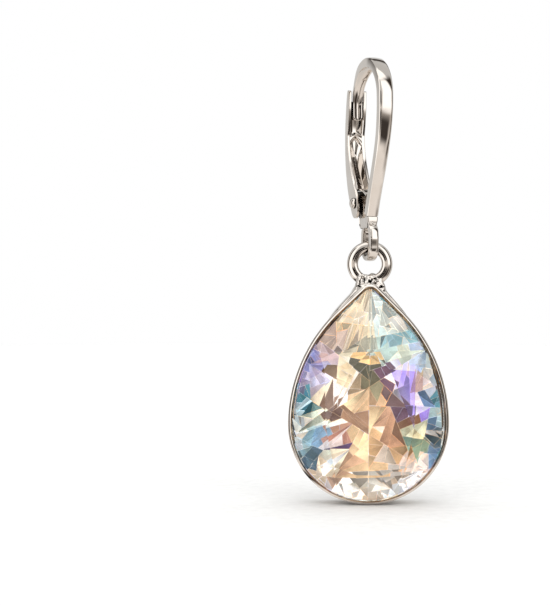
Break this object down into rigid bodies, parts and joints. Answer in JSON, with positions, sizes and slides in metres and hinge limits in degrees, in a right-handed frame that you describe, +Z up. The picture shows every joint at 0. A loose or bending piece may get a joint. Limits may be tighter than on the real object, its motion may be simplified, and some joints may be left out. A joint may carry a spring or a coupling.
{
  "type": "drop earring",
  "caption": "Drop earring on a lever-back ear hook, with a pear-cut faceted crystal in a bezel cup that swings on a loop.",
  "frame": {"origin": "underside of the ear hook's arch at its crown, which rests in the ear lobe", "axes": "+Z up, -Y to the front, with the hook's arch in the plane X = 0; the pendant hangs turned 17.6 degrees about Z, facing -Y and -X"},
  "size_m": [0.0136, 0.0076, 0.0382],
  "materials": {
    "plated_metal": "polished rhodium-like plating with a faint warm tone",
    "crystal": "foil-backed faceted crystal, champagne with an iridescent coat"
  },
  "bodies": {
    "hook": {"ear_hook": "plated_metal", "rivet": "plated_metal"},
    "lever": {"lever": "plated_metal"},
    "pendant": {"setting": "plated_metal", "stone": "crystal"}
  },
  "joints": [
    {"name": "lever_hinge", "type": "hinge", "parent": "hook", "child": "lever", "pos_m": [0, 0.00173, -0.01153], "axis": [-1, 0, 0], "range_deg": [0, 60]},
    {"name": "pendant_swing", "type": "hinge", "parent": "hook", "child": "pendant", "pos_m": [0, 0.00012, -0.01538], "axis": [0.9532, -0.3024, 0], "range_deg": [-30, 30]}
  ]
}
